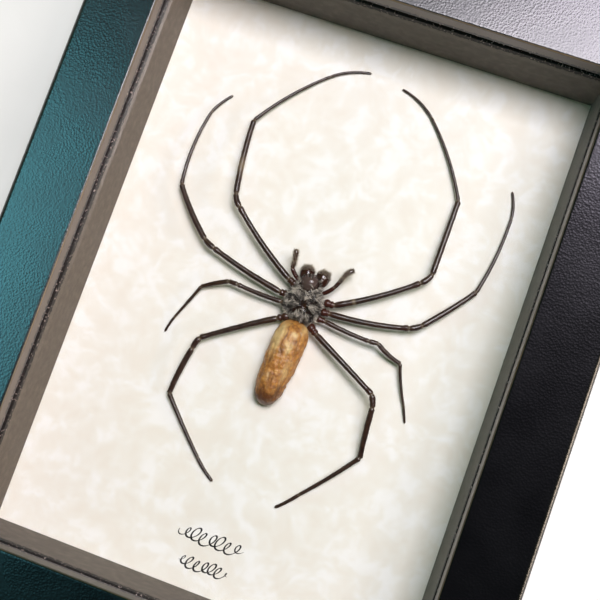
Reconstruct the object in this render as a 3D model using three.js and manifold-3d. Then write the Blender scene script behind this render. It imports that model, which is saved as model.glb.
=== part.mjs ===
// A dried orb weaver spider on a marbled card, in a deep black shadow box frame that lies on its back.
// Millimetres. +Z comes out of the glass and +Y runs to the top of the frame, where the spider's head points.
// The origin is the middle of the frame's back.
import * as THREE from "three";
import { mergeVertices } from "three/addons/utils/BufferGeometryUtils.js";
import Module from "manifold-3d";

// Frame
const SIGHT_WIDTH = 130; // the opening seen from the front
const SIGHT_HEIGHT = 181;
const FACE_WIDTH = 21; // face of the moulding, from the opening to the outside
const DEPTH = 42; // from the back to the face
const LIP_REACH = 6; // how far the lip covers the glass
const LIP_THICKNESS = 6.4;
const INNER_ARRIS = 0.8; // radius of the edge round the opening
const OUTER_ARRIS = 1.6; // radius of the edge round the outside
const MITRE_GAP = 0.1; // each rail stops this short of the corner's diagonal

// Layers in the rebate, from the back
const BACK_RECESS = 3.2; // how far the back board lies inside the frame
const BOARD_THICKNESS = 3;
const CARD_TOP = 10;
const CARD_THICKNESS = 3.6;
const GLASS_THICKNESS = 2.2;
const FIT_GAP = 0.3; // play round the glass and the boards
const STACK_GAP = 0.1; // play between strips that lie on each other

// Back fittings
const TAB_LENGTH = 10;
const TAB_WIDTH = 7;
const TAB_THICKNESS = 0.6;
const TAB_SPACING = 120; // between the two tabs of a long side
const HANGER_WIDTH = 44;
const HANGER_HEIGHT = 10;
const HANGER_THICKNESS = 0.9;
const HANGER_TEETH = 11;
const TOOTH_DEPTH = 1.8;
const HANGER_DROP = 26; // from the inside of the top rail down to the middle of the hanger

// Spider: its place on the card, and the play that its pieces keep
const SPIDER_PLACE = [2.2, 2.2];
const BODY_GAP = 0.3;
const CARD_GAP = 0.15; // between its underside and the card

// Abdomen: a long bag, as [distance behind its front, half width]
const ABDOMEN_FRONT = [0.5, -5];
const ABDOMEN_LEAN = 4.5; // degrees that its tail swings to the left
const ABDOMEN_WIDTHS = [
  [0, 1.4],
  [0.8, 3.1],
  [2.6, 4.6],
  [5.5, 5.25],
  [12, 5.3],
  [17, 4.95],
  [22, 4.4],
  [25, 3.6],
  [26.8, 2.2],
  [27.5, 0.9],
];
const ABDOMEN_FLATNESS = 0.88; // height over width
const ABDOMEN_SIDES = 18;
const ABDOMEN_RINGS = 16;

// Carapace with its head and breast plate, as [place along the body, half width, underside, crown]
const CARAPACE_RINGS = [
  [-4.5, 2.2, 2.2, 5.2],
  [-3.4, 4.4, 0.8, 6.4],
  [-1.2, 5.6, 0.2, 7.3],
  [1.2, 5.7, 0.15, 7.6],
  [3.2, 5.0, 0.15, 7.5],
  [4.8, 3.9, 0.2, 7.8],
  [6.4, 3.5, 0.6, 8.6],
  [8, 3.2, 1.6, 8.5],
  [9.2, 2.5, 2.8, 7.5],
  [9.9, 1.3, 4.0, 6.4],
];
const CARAPACE_SIDES = 20;

// Jaws: two blunt ovals that stick out under the head, leaning apart
const JAW_BASE = [1.85, 6.8, 4.6];
const JAW_TIP = [3.0, 12.2, 3.7];
const HEAD_OFFSET = 0.5; // the jaws sit a little right of the body's middle line
const JAW_RADII = [1.2, 1.7, 1.85, 1.75, 1.3, 0.6];
const JAW_SIDES = 12;

// Legs: lengths of the parts by pair, seen from above
const LEG_LENGTHS = {
  1: [3, 27, 4.5, 24.5, 28, 13],
  2: [2.5, 24.5, 4, 19.5, 25.5, 8.5],
  3: [2.5, 14.5, 3, 9, 12.5, 5.5],
  4: [3.5, 24.5, 4, 15.5, 21.5, 8.5],
};
const LEG_STOUTNESS = { 1: 1, 2: 0.98, 3: 0.8, 4: 0.98 };
// Radii of the parts in the same order, as [share of the part's length, radius]
const LEG_RADII = [
  [[0, 1.1], [0.7, 1.2], [0.97, 0.95]],
  [[0.05, 1.15], [0.25, 1.2], [0.6, 1.08], [0.95, 0.98]],
  [[0.08, 0.92], [0.5, 0.98], [0.95, 0.82]],
  [[0.05, 0.84], [0.35, 0.84], [0.7, 0.78], [0.96, 0.74]],
  [[0.04, 0.66], [0.25, 0.58], [0.5, 0.53], [0.75, 0.48], [0.97, 0.45]],
  [[0.08, 0.45], [0.4, 0.42], [0.75, 0.36], [1, 0.22]],
];
const LEG_SIDES = 8;
// How each leg lies: its hip, then for each part its heading, its bend and the height of its far end
const HIP_HEIGHT = 4.2;
const LEG_POSES = {
  leg_left_1: {
    pair: 1,
    hip: [-4, 5],
    headings: [155, 150, 145, 102, 59, 39],
    bends: [0, -12, -37, -9, -18, -31],
    heights: [4.6, 5.2, 4.8, 2.4, 1.0, 0.45],
  },
  leg_left_2: {
    pair: 2,
    hip: [-5.5, 1.5],
    headings: [177, 170, 165, 140, 100, 67],
    bends: [0, -8, -19, -13, -22, -19],
    heights: [4.4, 4.6, 4.4, 2.8, 1.0, 0.45],
  },
  leg_left_3: {
    pair: 3,
    hip: [-4, -1.2],
    headings: [177, -178, 179, -156, -112, -110],
    bends: [0, -8, 0, 9, -1, 10],
    heights: [4.2, 4.2, 3.8, 2.0, 1.0, 0.45],
  },
  leg_left_4: {
    pair: 4,
    hip: [-3, -4.5],
    headings: [-150, -149, -119, -103, -48, -45],
    bends: [0, 5, 24, 10, 4, 14],
    heights: [4.0, 3.4, 3.2, 2.0, 1.0, 0.45],
  },
  leg_right_1: {
    pair: 1,
    hip: [6, 3],
    headings: [2, 28, 36, 89, 117, 138],
    bends: [0, 12, 39, 1, 18, 30],
    heights: [4.4, 4.4, 4.0, 2.0, 1.0, 0.45],
  },
  leg_right_2: {
    pair: 2,
    hip: [6, 0],
    headings: [7, 2, 17, 48, 76, 94],
    bends: [0, 14, 27, 7, 15, 25],
    heights: [4.2, 4.2, 4.0, 2.2, 1.0, 0.45],
  },
  leg_right_3: {
    pair: 3,
    hip: [5.5, -2.3],
    headings: [-1, -9, 5, -34, -72, -67],
    bends: [0, 8, 0, 23, 12, 0],
    heights: [4.2, 4.6, 4.4, 2.6, 1.2, 0.45],
  },
  leg_right_4: {
    pair: 4,
    hip: [4, -5],
    headings: [-35, -27, -58, -87, -126, -127],
    bends: [0, -1, -19, 5, -6, -11],
    heights: [4.4, 6.2, 5.8, 2.6, 1.0, 0.45],
  },
};

// Feelers, described as the legs are
const PALP_RADII = [
  [[0, 0.6], [0.5, 0.68], [0.95, 0.56]],
  [[0.1, 0.62], [0.9, 0.6]],
  [[0.1, 0.6], [0.5, 0.74], [0.85, 0.66], [1, 0.3]],
];
const PALP_SIDES = 8;
const PALP_POSES = {
  palp_left: {
    hip: [-3.9, 7],
    lengths: [4, 2.2, 3.6],
    headings: [150, 88, 100],
    bends: [-26, 0, 0],
    heights: [5.2, 5.8, 6.6],
  },
  palp_right: {
    hip: [4.6, 5.4],
    lengths: [4, 3.8, 4.4],
    headings: [36, 63, 74],
    bends: [20, 8, -42],
    heights: [5.2, 5.4, 5.4],
  },
};

// Finishes
const BLACK_PAINT = { color: 0x1d2023, roughness: 0.4, metalness: 0 };
const CLEAR_GLASS = { color: 0xf2f6f5, roughness: 0.02, metalness: 0, transparent: true, opacity: 0.15 };
const PARCHMENT = { color: 0xf3eee4, roughness: 0.85, metalness: 0 };
const HARDBOARD = { color: 0x6d5138, roughness: 0.8, metalness: 0 };
const STEEL = { color: 0xa9acae, roughness: 0.35, metalness: 1 };
const GREY_HAIR = { color: 0x5e5a58, roughness: 0.7, metalness: 0 };
const TAN_SKIN = { color: 0xb27b35, roughness: 0.45, metalness: 0 };
const DARK_SHELL = { color: 0x2f2420, roughness: 0.35, metalness: 0 };
const RED_SHELL = { color: 0x3a1d17, roughness: 0.3, metalness: 0 };

const GLASS_TOP = DEPTH - LIP_THICKNESS - FIT_GAP;
const SPACER_TOP = GLASS_TOP - GLASS_THICKNESS - FIT_GAP;
const REBATE_WIDTH = SIGHT_WIDTH + 2 * LIP_REACH;
const REBATE_HEIGHT = SIGHT_HEIGHT + 2 * LIP_REACH;
const INSERT_WIDTH = REBATE_WIDTH - 2 * FIT_GAP;
const INSERT_HEIGHT = REBATE_HEIGHT - 2 * FIT_GAP;

const wasm = await Module();
wasm.setup();

const part = new THREE.Group();

function addPiece(parent, name, geometry, finish) {
  const mesh = new THREE.Mesh(geometry, new THREE.MeshStandardMaterial(finish));
  mesh.name = name;
  parent.add(mesh);
  return mesh;
}

// Closed mesh with shared corners, as a solid that can be cut
function toSolid(geometry) {
  const bare = geometry.clone();
  bare.deleteAttribute("normal");
  bare.deleteAttribute("uv");
  const merged = mergeVertices(bare);
  const vertProperties = new Float32Array(merged.attributes.position.array);
  const triVerts = new Uint32Array(merged.index.array);
  return new wasm.Manifold(new wasm.Mesh({ numProp: 3, vertProperties, triVerts }));
}

function cutBy(geometry, cutters) {
  let solid = toSolid(geometry);
  for (const cutter of cutters) {
    solid = solid.subtract(toSolid(cutter));
  }
  const mesh = solid.getMesh();
  const cut = new THREE.BufferGeometry();
  cut.setAttribute("position", new THREE.BufferAttribute(mesh.vertProperties, 3));
  cut.setIndex(new THREE.BufferAttribute(mesh.triVerts, 1));
  cut.computeVertexNormals();
  return cut;
}

// Section of the moulding: u runs outwards from the opening, v up from the back
function mouldingSection() {
  const lipUnderside = DEPTH - LIP_THICKNESS;
  const section = new THREE.Shape();
  section.moveTo(0, lipUnderside);
  section.lineTo(LIP_REACH, lipUnderside);
  section.lineTo(LIP_REACH, 0);
  section.lineTo(FACE_WIDTH, 0);
  section.lineTo(FACE_WIDTH, DEPTH - OUTER_ARRIS);
  section.absarc(FACE_WIDTH - OUTER_ARRIS, DEPTH - OUTER_ARRIS, OUTER_ARRIS, 0, Math.PI / 2);
  section.lineTo(INNER_ARRIS, DEPTH);
  section.absarc(INNER_ARRIS, DEPTH - INNER_ARRIS, INNER_ARRIS, Math.PI / 2, Math.PI);
  return section;
}

// A rail along X whose ends follow the corner diagonals: the further out, the longer
function railGeometry(sightLength) {
  const geometry = new THREE.ExtrudeGeometry(mouldingSection(), {
    depth: 1,
    steps: 1,
    curveSegments: 3,
    bevelEnabled: false,
  });
  const position = geometry.attributes.position;
  for (let i = 0; i < position.count; i += 1) {
    const outward = position.getX(i);
    const height = position.getY(i);
    const end = position.getZ(i) > 0.5 ? 1 : -1;
    position.setXYZ(i, end * (sightLength / 2 + outward - MITRE_GAP), outward, height);
  }
  geometry.computeVertexNormals();
  return geometry;
}

function addRails() {
  const sides = [
    ["rail_top", SIGHT_WIDTH, SIGHT_HEIGHT, 0],
    ["rail_left", SIGHT_HEIGHT, SIGHT_WIDTH, 90],
    ["rail_bottom", SIGHT_WIDTH, SIGHT_HEIGHT, 180],
    ["rail_right", SIGHT_HEIGHT, SIGHT_WIDTH, 270],
  ];
  for (const [name, along, across, turn] of sides) {
    const rail = addPiece(part, name, railGeometry(along), BLACK_PAINT);
    const angle = THREE.MathUtils.degToRad(turn);
    rail.rotation.z = angle;
    rail.position.set((-Math.sin(angle) * across) / 2, (Math.cos(angle) * across) / 2, 0);
  }
}

// A flat box given by its width, height and the levels of its underside and top
function slab(name, finish, width, height, bottom, top, x = 0, y = 0) {
  const piece = addPiece(part, name, new THREE.BoxGeometry(width, height, top - bottom), finish);
  piece.position.set(x, y, (bottom + top) / 2);
}

function addLayers() {
  const boardTop = BACK_RECESS + BOARD_THICKNESS;
  slab("back_board", HARDBOARD, INSERT_WIDTH, INSERT_HEIGHT, BACK_RECESS, boardTop);
  slab("mount_card", PARCHMENT, INSERT_WIDTH, INSERT_HEIGHT, CARD_TOP - CARD_THICKNESS, CARD_TOP);
  slab("glass_pane", CLEAR_GLASS, INSERT_WIDTH, INSERT_HEIGHT, GLASS_TOP - GLASS_THICKNESS, GLASS_TOP);
  const strip = LIP_REACH - FIT_GAP;
  const bottom = CARD_TOP + STACK_GAP;
  for (const [side, name] of [[-1, "spacer_left"], [1, "spacer_right"]]) {
    const x = (side * (SIGHT_WIDTH + strip)) / 2;
    slab(name, BLACK_PAINT, strip, INSERT_HEIGHT, bottom, SPACER_TOP, x, 0);
  }
  for (const [side, name] of [[-1, "spacer_bottom"], [1, "spacer_top"]]) {
    const y = (side * (SIGHT_HEIGHT + strip)) / 2;
    slab(name, BLACK_PAINT, SIGHT_WIDTH - 2 * STACK_GAP, strip, bottom, SPACER_TOP, 0, y);
  }
}

// A flat tab with a round nose that lies over the edge of the back board
function tabGeometry() {
  const radius = TAB_WIDTH / 2;
  const outline = new THREE.Shape();
  outline.moveTo(0, -radius);
  outline.lineTo(TAB_LENGTH - radius, -radius);
  outline.absarc(TAB_LENGTH - radius, 0, radius, -Math.PI / 2, Math.PI / 2);
  outline.lineTo(0, radius);
  return new THREE.ExtrudeGeometry(outline, { depth: TAB_THICKNESS, curveSegments: 6, bevelEnabled: false });
}

function addTabs() {
  const reachX = REBATE_WIDTH / 2 - STACK_GAP;
  const reachY = REBATE_HEIGHT / 2 - STACK_GAP;
  const places = [
    ["tab_left_upper", -reachX, TAB_SPACING / 2, 0],
    ["tab_left_lower", -reachX, -TAB_SPACING / 2, 0],
    ["tab_right_upper", reachX, TAB_SPACING / 2, 180],
    ["tab_right_lower", reachX, -TAB_SPACING / 2, 180],
    ["tab_bottom", 0, -reachY, 90],
    ["tab_top", 0, reachY, 270],
  ];
  for (const [name, x, y, turn] of places) {
    const tab = addPiece(part, name, tabGeometry(), STEEL);
    tab.rotation.z = THREE.MathUtils.degToRad(turn);
    tab.position.set(x, y, BACK_RECESS - STACK_GAP - TAB_THICKNESS);
  }
}

// A strip with teeth along its lower edge, for a nail in the wall
function addHanger() {
  const outline = new THREE.Shape();
  const half = HANGER_WIDTH / 2;
  const pitch = HANGER_WIDTH / HANGER_TEETH;
  outline.moveTo(half, 0);
  outline.lineTo(half, HANGER_HEIGHT);
  outline.lineTo(-half, HANGER_HEIGHT);
  outline.lineTo(-half, 0);
  for (let tooth = 0; tooth < HANGER_TEETH; tooth += 1) {
    const start = -half + tooth * pitch;
    outline.lineTo(start + pitch / 2, TOOTH_DEPTH);
    if (tooth < HANGER_TEETH - 1) {
      outline.lineTo(start + pitch, 0);
    }
  }
  const plate = new THREE.ExtrudeGeometry(outline, { depth: HANGER_THICKNESS, bevelEnabled: false });
  const hanger = addPiece(part, "hanger", plate, STEEL);
  const y = REBATE_HEIGHT / 2 - HANGER_DROP - HANGER_HEIGHT / 2;
  hanger.position.set(0, y, BACK_RECESS - STACK_GAP - HANGER_THICKNESS);
}

// A closed skin over oval rings: each ring of a cylinder is moved to its centre and stretched to its half
// width and half height, square to the way that the row of centres runs, or upright
function skinOver(rings, sides, upright = false) {
  const geometry = new THREE.CylinderGeometry(1, 1, 1, sides, rings.length - 1);
  const position = geometry.attributes.position;
  const frames = rings.map((ring, i) => {
    const before = rings[Math.max(i - 1, 0)].centre;
    const after = rings[Math.min(i + 1, rings.length - 1)].centre;
    const along = after.clone().sub(before);
    if (upright) {
      along.z = 0;
    }
    along.normalize();
    const side = new THREE.Vector3(0, 0, 1).cross(along).normalize();
    const up = along.clone().cross(side);
    return { side, up };
  });
  const point = new THREE.Vector3();
  for (let i = 0; i < position.count; i += 1) {
    const index = Math.round((0.5 - position.getY(i)) * (rings.length - 1));
    const { centre, wide, high } = rings[index];
    const { side, up } = frames[index];
    point.copy(centre);
    point.addScaledVector(side, position.getX(i) * wide);
    point.addScaledVector(up, position.getZ(i) * high);
    position.setXYZ(i, point.x, point.y, point.z);
  }
  geometry.computeVertexNormals();
  return geometry;
}

function abdomenGeometry(grow) {
  const outline = new THREE.SplineCurve(ABDOMEN_WIDTHS.map(([along, half]) => new THREE.Vector2(along, half)));
  const lean = THREE.MathUtils.degToRad(ABDOMEN_LEAN);
  const rings = outline.getPoints(ABDOMEN_RINGS).map(({ x: along, y: half }, i) => {
    const stretch = i === 0 ? -grow : i === ABDOMEN_RINGS ? grow : 0;
    const x = ABDOMEN_FRONT[0] - Math.sin(lean) * (along + stretch);
    const y = ABDOMEN_FRONT[1] - Math.cos(lean) * (along + stretch);
    const widest = Math.max(...ABDOMEN_WIDTHS.map((row) => row[1]));
    // the belly lies on the card, and the tail end lifts off a little
    const lift = CARD_GAP + ABDOMEN_FLATNESS * (0.35 * widest + 0.65 * half);
    const centre = new THREE.Vector3(x, y, lift);
    return { centre, wide: half + grow, high: half * ABDOMEN_FLATNESS + grow };
  });
  return skinOver(rings, ABDOMEN_SIDES, true);
}

function carapaceGeometry(grow) {
  const last = CARAPACE_RINGS.length - 1;
  const rings = CARAPACE_RINGS.map(([along, half, underside, crown], i) => {
    const stretch = i === 0 ? -grow : i === last ? grow : 0;
    const centre = new THREE.Vector3(0, along + stretch, (underside + crown) / 2);
    return { centre, wide: half + grow, high: (crown - underside) / 2 + grow };
  });
  return skinOver(rings, CARAPACE_SIDES, true);
}

// A limb from its parts, each an arc seen from above: the chord of an arc of length s that bends by b is
// s sin(b/2) / (b/2) long, at half the bend from the first heading
function limbGeometry({ hip, lengths, headings, bends, heights }, radii, stoutness, sides) {
  let start = new THREE.Vector3(hip[0], hip[1], HIP_HEIGHT);
  const rings = [];
  lengths.forEach((length, i) => {
    const at = (share) => {
      const bend = THREE.MathUtils.degToRad(bends[i] * share);
      const heading = THREE.MathUtils.degToRad(headings[i]) + bend / 2;
      const chord = length * share * (bend === 0 ? 1 : Math.sin(bend / 2) / (bend / 2));
      const height = THREE.MathUtils.lerp(start.z, heights[i], share);
      return new THREE.Vector3(start.x + chord * Math.cos(heading), start.y + chord * Math.sin(heading), height);
    };
    for (const [share, radius] of radii[i]) {
      const size = radius * stoutness;
      rings.push({ centre: at(share), wide: size, high: size });
    }
    start = at(1);
  });
  return skinOver(rings, sides);
}

function jawGeometry(side) {
  const base = new THREE.Vector3(HEAD_OFFSET + side * JAW_BASE[0], JAW_BASE[1], JAW_BASE[2]);
  const tip = new THREE.Vector3(HEAD_OFFSET + side * JAW_TIP[0], JAW_TIP[1], JAW_TIP[2]);
  const rings = JAW_RADII.map((radius, i) => {
    const centre = base.clone().lerp(tip, i / (JAW_RADII.length - 1));
    return { centre, wide: radius, high: radius };
  });
  return skinOver(rings, JAW_SIDES);
}

function addSpider() {
  const spider = new THREE.Group();
  spider.position.set(SPIDER_PLACE[0], SPIDER_PLACE[1], CARD_TOP);
  part.add(spider);
  const carapaceRoom = carapaceGeometry(BODY_GAP);
  const abdomenRoom = abdomenGeometry(BODY_GAP);
  addPiece(spider, "carapace", carapaceGeometry(0), GREY_HAIR);
  addPiece(spider, "abdomen", abdomenGeometry(0), TAN_SKIN);
  addPiece(spider, "chelicera_left", cutBy(jawGeometry(-1), [carapaceRoom]), RED_SHELL);
  addPiece(spider, "chelicera_right", cutBy(jawGeometry(1), [carapaceRoom]), RED_SHELL);
  for (const [name, pose] of Object.entries(PALP_POSES)) {
    const palp = limbGeometry(pose, PALP_RADII, 1, PALP_SIDES);
    addPiece(spider, name, cutBy(palp, [carapaceRoom]), RED_SHELL);
  }
  for (const [name, pose] of Object.entries(LEG_POSES)) {
    const limb = { ...pose, lengths: LEG_LENGTHS[pose.pair] };
    const leg = limbGeometry(limb, LEG_RADII, LEG_STOUTNESS[pose.pair], LEG_SIDES);
    addPiece(spider, name, cutBy(leg, [carapaceRoom, abdomenRoom]), DARK_SHELL);
  }
}

addRails();
addLayers();
addTabs();
addHanger();
addSpider();

export default part;
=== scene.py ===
import itertools
import math

import bpy
import numpy as np
from mathutils import Matrix, Vector


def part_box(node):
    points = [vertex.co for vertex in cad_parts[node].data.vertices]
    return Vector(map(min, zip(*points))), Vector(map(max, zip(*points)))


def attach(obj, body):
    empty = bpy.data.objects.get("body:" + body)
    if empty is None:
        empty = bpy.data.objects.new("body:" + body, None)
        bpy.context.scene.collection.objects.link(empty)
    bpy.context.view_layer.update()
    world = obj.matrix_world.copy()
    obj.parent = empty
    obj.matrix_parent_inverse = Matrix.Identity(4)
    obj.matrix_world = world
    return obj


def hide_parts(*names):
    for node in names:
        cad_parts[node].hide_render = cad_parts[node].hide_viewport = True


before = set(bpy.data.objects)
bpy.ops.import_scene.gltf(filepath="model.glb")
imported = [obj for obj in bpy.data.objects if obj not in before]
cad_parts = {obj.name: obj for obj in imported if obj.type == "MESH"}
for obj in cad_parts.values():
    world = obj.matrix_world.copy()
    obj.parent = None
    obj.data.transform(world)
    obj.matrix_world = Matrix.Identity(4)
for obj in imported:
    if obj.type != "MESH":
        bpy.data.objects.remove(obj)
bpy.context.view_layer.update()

bl_info = {
    "name": "Framed orb weaver spider",
    "version": (1, 0, 0),
    "blender": (4, 5, 0),
    "location": "View3D > Sidebar > Specimen",
    "description": "Dresses the solids of a shadow box with a dried spider on a marbled card",
    "category": "Add Mesh",
}

MM = 0.001
CARD_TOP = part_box("mount_card")[1].z
BODY = "root"

# The spider's own origin lies on the card; its head points along +Y. Lengths from here on are millimetres.
SPIDER_PLACE = (2.2, 2.2)

# Legs: lengths of the parts by pair, the stoutness of each pair, and that of its last two parts on top of it
LEG_LENGTHS = {
    1: (3, 27, 4.5, 24.5, 28, 13),
    2: (2.5, 24.5, 4, 19.5, 25.5, 8.5),
    3: (2.5, 14.5, 3, 9, 12.5, 5.5),
    4: (3.5, 24.5, 4, 15.5, 21.5, 8.5),
}
LEG_STOUTNESS = {1: 1.0, 2: 0.98, 3: 0.8, 4: 0.98}
FOOT_STOUTNESS = {1: 0.84, 2: 0.94, 3: 1.0, 4: 1.12}
HIP_HEIGHT = 4.2
# How each leg lies: pair, hip, then for each part its heading, its bend and the height of its far end
LEG_POSES = {
    "leg_left_1": (1, (-4, 5), (155, 150, 145, 102, 59, 39), (0, -12, -37, -9, -18, -31),
                   (4.6, 5.2, 4.8, 2.4, 1.0, 0.45)),
    "leg_left_2": (2, (-5.5, 1.5), (177, 170, 165, 140, 100, 67), (0, -8, -19, -13, -22, -19),
                   (4.4, 4.6, 4.4, 2.8, 1.0, 0.45)),
    "leg_left_3": (3, (-4, -1.2), (177, -178, 179, -156, -112, -110), (0, -8, 0, 9, -1, 10),
                   (4.2, 4.2, 3.8, 2.0, 1.0, 0.45)),
    "leg_left_4": (4, (-3, -4.5), (-150, -149, -119, -103, -48, -45), (0, 5, 24, 10, 4, 14),
                   (4.0, 3.4, 3.2, 2.0, 1.0, 0.45)),
    "leg_right_1": (1, (6, 3), (2, 28, 36, 89, 117, 138), (0, 12, 39, 1, 18, 30),
                    (4.4, 4.4, 4.0, 2.0, 1.0, 0.45)),
    "leg_right_2": (2, (6, 0), (7, 2, 17, 48, 76, 94), (0, 14, 27, 7, 15, 25),
                    (4.2, 4.2, 4.0, 2.2, 1.0, 0.45)),
    "leg_right_3": (3, (5.5, -2.3), (-1, -9, 5, -34, -72, -67), (0, 8, 0, 23, 12, 0),
                    (4.2, 4.6, 4.4, 2.6, 1.2, 0.45)),
    "leg_right_4": (4, (4, -5), (-35, -27, -58, -87, -126, -127), (0, -1, -19, 5, -6, -11),
                    (4.4, 6.2, 5.8, 2.6, 1.0, 0.45)),
}
# Pale stretches, as (leg, part, distance from the part's base, half length, strength)
PALE_STRETCHES = (("leg_right_1", 1, 6.2, 0.45, 0.7), ("leg_left_1", 3, 9.4, 2.4, 0.6))
# Radius along each part of a leg, as (share of the part's length, radius); the dips are the joints
LEG_RADII = (
    ((0, 1.05), (0.25, 1.26), (0.48, 1.18), (0.56, 0.95), (0.62, 0.95), (0.76, 1.14), (0.92, 1.02), (1, 0.8)),
    ((0, 0.72), (0.03, 0.9), (0.1, 0.98), (0.25, 0.94), (0.6, 0.86), (0.9, 0.82), (0.965, 0.96), (0.99, 0.86),
     (1, 0.62)),
    ((0, 0.6), (0.12, 0.88), (0.45, 0.95), (0.85, 0.86), (0.95, 0.84), (1, 0.62)),
    ((0, 0.6), (0.04, 0.92), (0.12, 0.92), (0.3, 0.93), (0.7, 0.86), (0.93, 0.82), (0.975, 0.9), (1, 0.54)),
    ((0, 0.48), (0.025, 0.74), (0.07, 0.66), (0.3, 0.6), (0.6, 0.55), (0.95, 0.5), (0.98, 0.53), (1, 0.4)),
    ((0, 0.38), (0.05, 0.51), (0.4, 0.48), (0.8, 0.44), (0.95, 0.4), (0.99, 0.28), (1, 0.15)),
)
PALP_POSES = {
    "palp_left": ((-3.9, 7), (4, 2.2, 3.6), (150, 88, 100), (-26, 0, 0), (5.2, 5.8, 6.6)),
    "palp_right": ((4.6, 5.4), (4, 3.8, 4.4), (36, 63, 74), (20, 8, -42), (5.2, 5.4, 5.4)),
}
PALP_RADII = (
    ((0, 0.6), (0.5, 0.7), (0.92, 0.62), (1, 0.5)),
    ((0, 0.5), (0.15, 0.64), (0.8, 0.62), (1, 0.52)),
    ((0, 0.52), (0.15, 0.62), (0.55, 0.76), (0.85, 0.66), (0.96, 0.42), (1, 0.15)),
)
# Carapace as (place along the body, half width, underside, crown)
CARAPACE_RINGS = np.array((
    (-4.5, 2.2, 2.2, 5.2), (-3.4, 4.4, 0.8, 6.4), (-1.2, 5.6, 0.2, 7.3), (1.2, 5.7, 0.15, 7.6),
    (3.2, 5.0, 0.15, 7.5), (4.8, 3.9, 0.2, 7.8), (6.4, 3.5, 0.6, 8.6), (8, 3.2, 1.6, 8.5),
    (9.2, 2.5, 2.8, 7.5), (9.9, 1.3, 4.0, 6.4),
))
FOVEA = (0.4, -0.2)  # the pit in the middle of the carapace, from which furrows run to the legs
FURROW_DIRECTIONS = (28, 62, 95, 128, 160)  # degrees from straight ahead, on both sides
HEAD_CENTRE = (-0.3, 7.2)
HEAD_RADIUS = 2.5
# Dark pits and bright tufts of the carapace's hair, as (right, along)
HAIR_PITS = (
    (-4.2, 0.7), (-3.9, -1.2), (-1.1, -1.2), (4.7, 0.5), (2.0, 2.4), (1.5, -0.9), (3.1, -1.7), (-2.1, 3.7),
    (-2.0, -2.4), (3.9, 2.9),
)
HAIR_TUFTS = (
    (-0.2, -2.9), (1.1, -2.8), (-3.4, 3.0), (-3.9, -0.1), (4.9, -2.9), (5.3, 1.8), (0.9, 2.1), (3.5, 3.3),
    (-5.5, 1.4), (-3.8, -4.1),
)
# Abdomen as (distance behind its front, half width)
ABDOMEN_FRONT = (0.5, -5)
ABDOMEN_LEAN = math.radians(4.5)
ABDOMEN_WIDTHS = np.array((
    (0, 1.4), (0.8, 3.1), (2.6, 4.6), (5.5, 5.25), (12, 5.3), (17, 4.95), (22, 4.4), (25, 3.6),
    (26.8, 2.2), (27.5, 0.9),
))
ABDOMEN_FLATNESS = 0.88
# Marks on the abdomen, as (behind its front, right of its middle, half length, half width, strength)
STRAW_MARKS = (
    (6.5, -3.5, 4.2, 1.3, 0.9), (1.4, 3.2, 1.6, 1.2, 0.5), (9.0, 0.8, 2.2, 1.0, 0.5),
    (4.5, 1.5, 0.9, 0.8, 0.7), (18.4, -1.5, 1.2, 0.7, 0.35), (15.5, 3.2, 3.5, 0.8, 0.35),
)
FOLD_MARKS = (
    (6.2, -1.3, 4.6, 0.4, 0.8), (6.4, 2.0, 0.8, 0.8, 0.6), (10.6, -0.6, 1.3, 0.6, 0.5),
    (2.0, 0.4, 0.9, 1.6, 0.35), (13.5, -2.6, 2.0, 0.5, 0.4), (22.3, 3.4, 2.0, 0.9, 0.5),
    (25.5, 0.0, 2.4, 3.6, 0.6),
)
# Jaws
JAW_BASE = (1.85, 6.8, 4.6)
JAW_TIP = (3.0, 12.2, 3.7)
HEAD_OFFSET = 0.5
JAW_RADII = (1.2, 1.7, 1.95, 1.95, 1.6, 0.8)
JAW_BREADTH = 1.15  # width over height
JAW_HAIRS = 900
PALP_HAIRS = 700
PALP_SIDES = 20
# Eyes, as (right of the middle line, place along the body, height, radius)
EYES = (
    (0.42, 9.35, 7.5, 0.34), (0.5, 8.75, 8.15, 0.32), (1.55, 8.9, 7.5, 0.28), (1.95, 8.45, 7.35, 0.28),
)
EYE_GRID = (10, 16)
# Soft lights, as name: (place in metres, width and height in metres, tint)
LIGHT_PANELS = {
    "key_light": ((0.125, 0.245, 0.78), (0.32, 0.31), "#faf5fb"),
    "side_light": ((0.44, 0.2, 0.72), (0.3, 0.3), "#fff3f0"),
    "rim_light": ((0.5, 1.02, 1.6), (0.7, 0.52), "#f6ecff"),
    "cool_fill": ((-0.84, 0.0, 1.5), (0.46, 0.76), "#7ddcec"),
    "low_bounce": ((2.4, 0.1, 0.62), (0.9, 0.9), "#ffe9d2"),
}
BOUNCE_TILT = math.radians(76)
SPACERS = ("spacer_top", "spacer_bottom", "spacer_left", "spacer_right")


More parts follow.
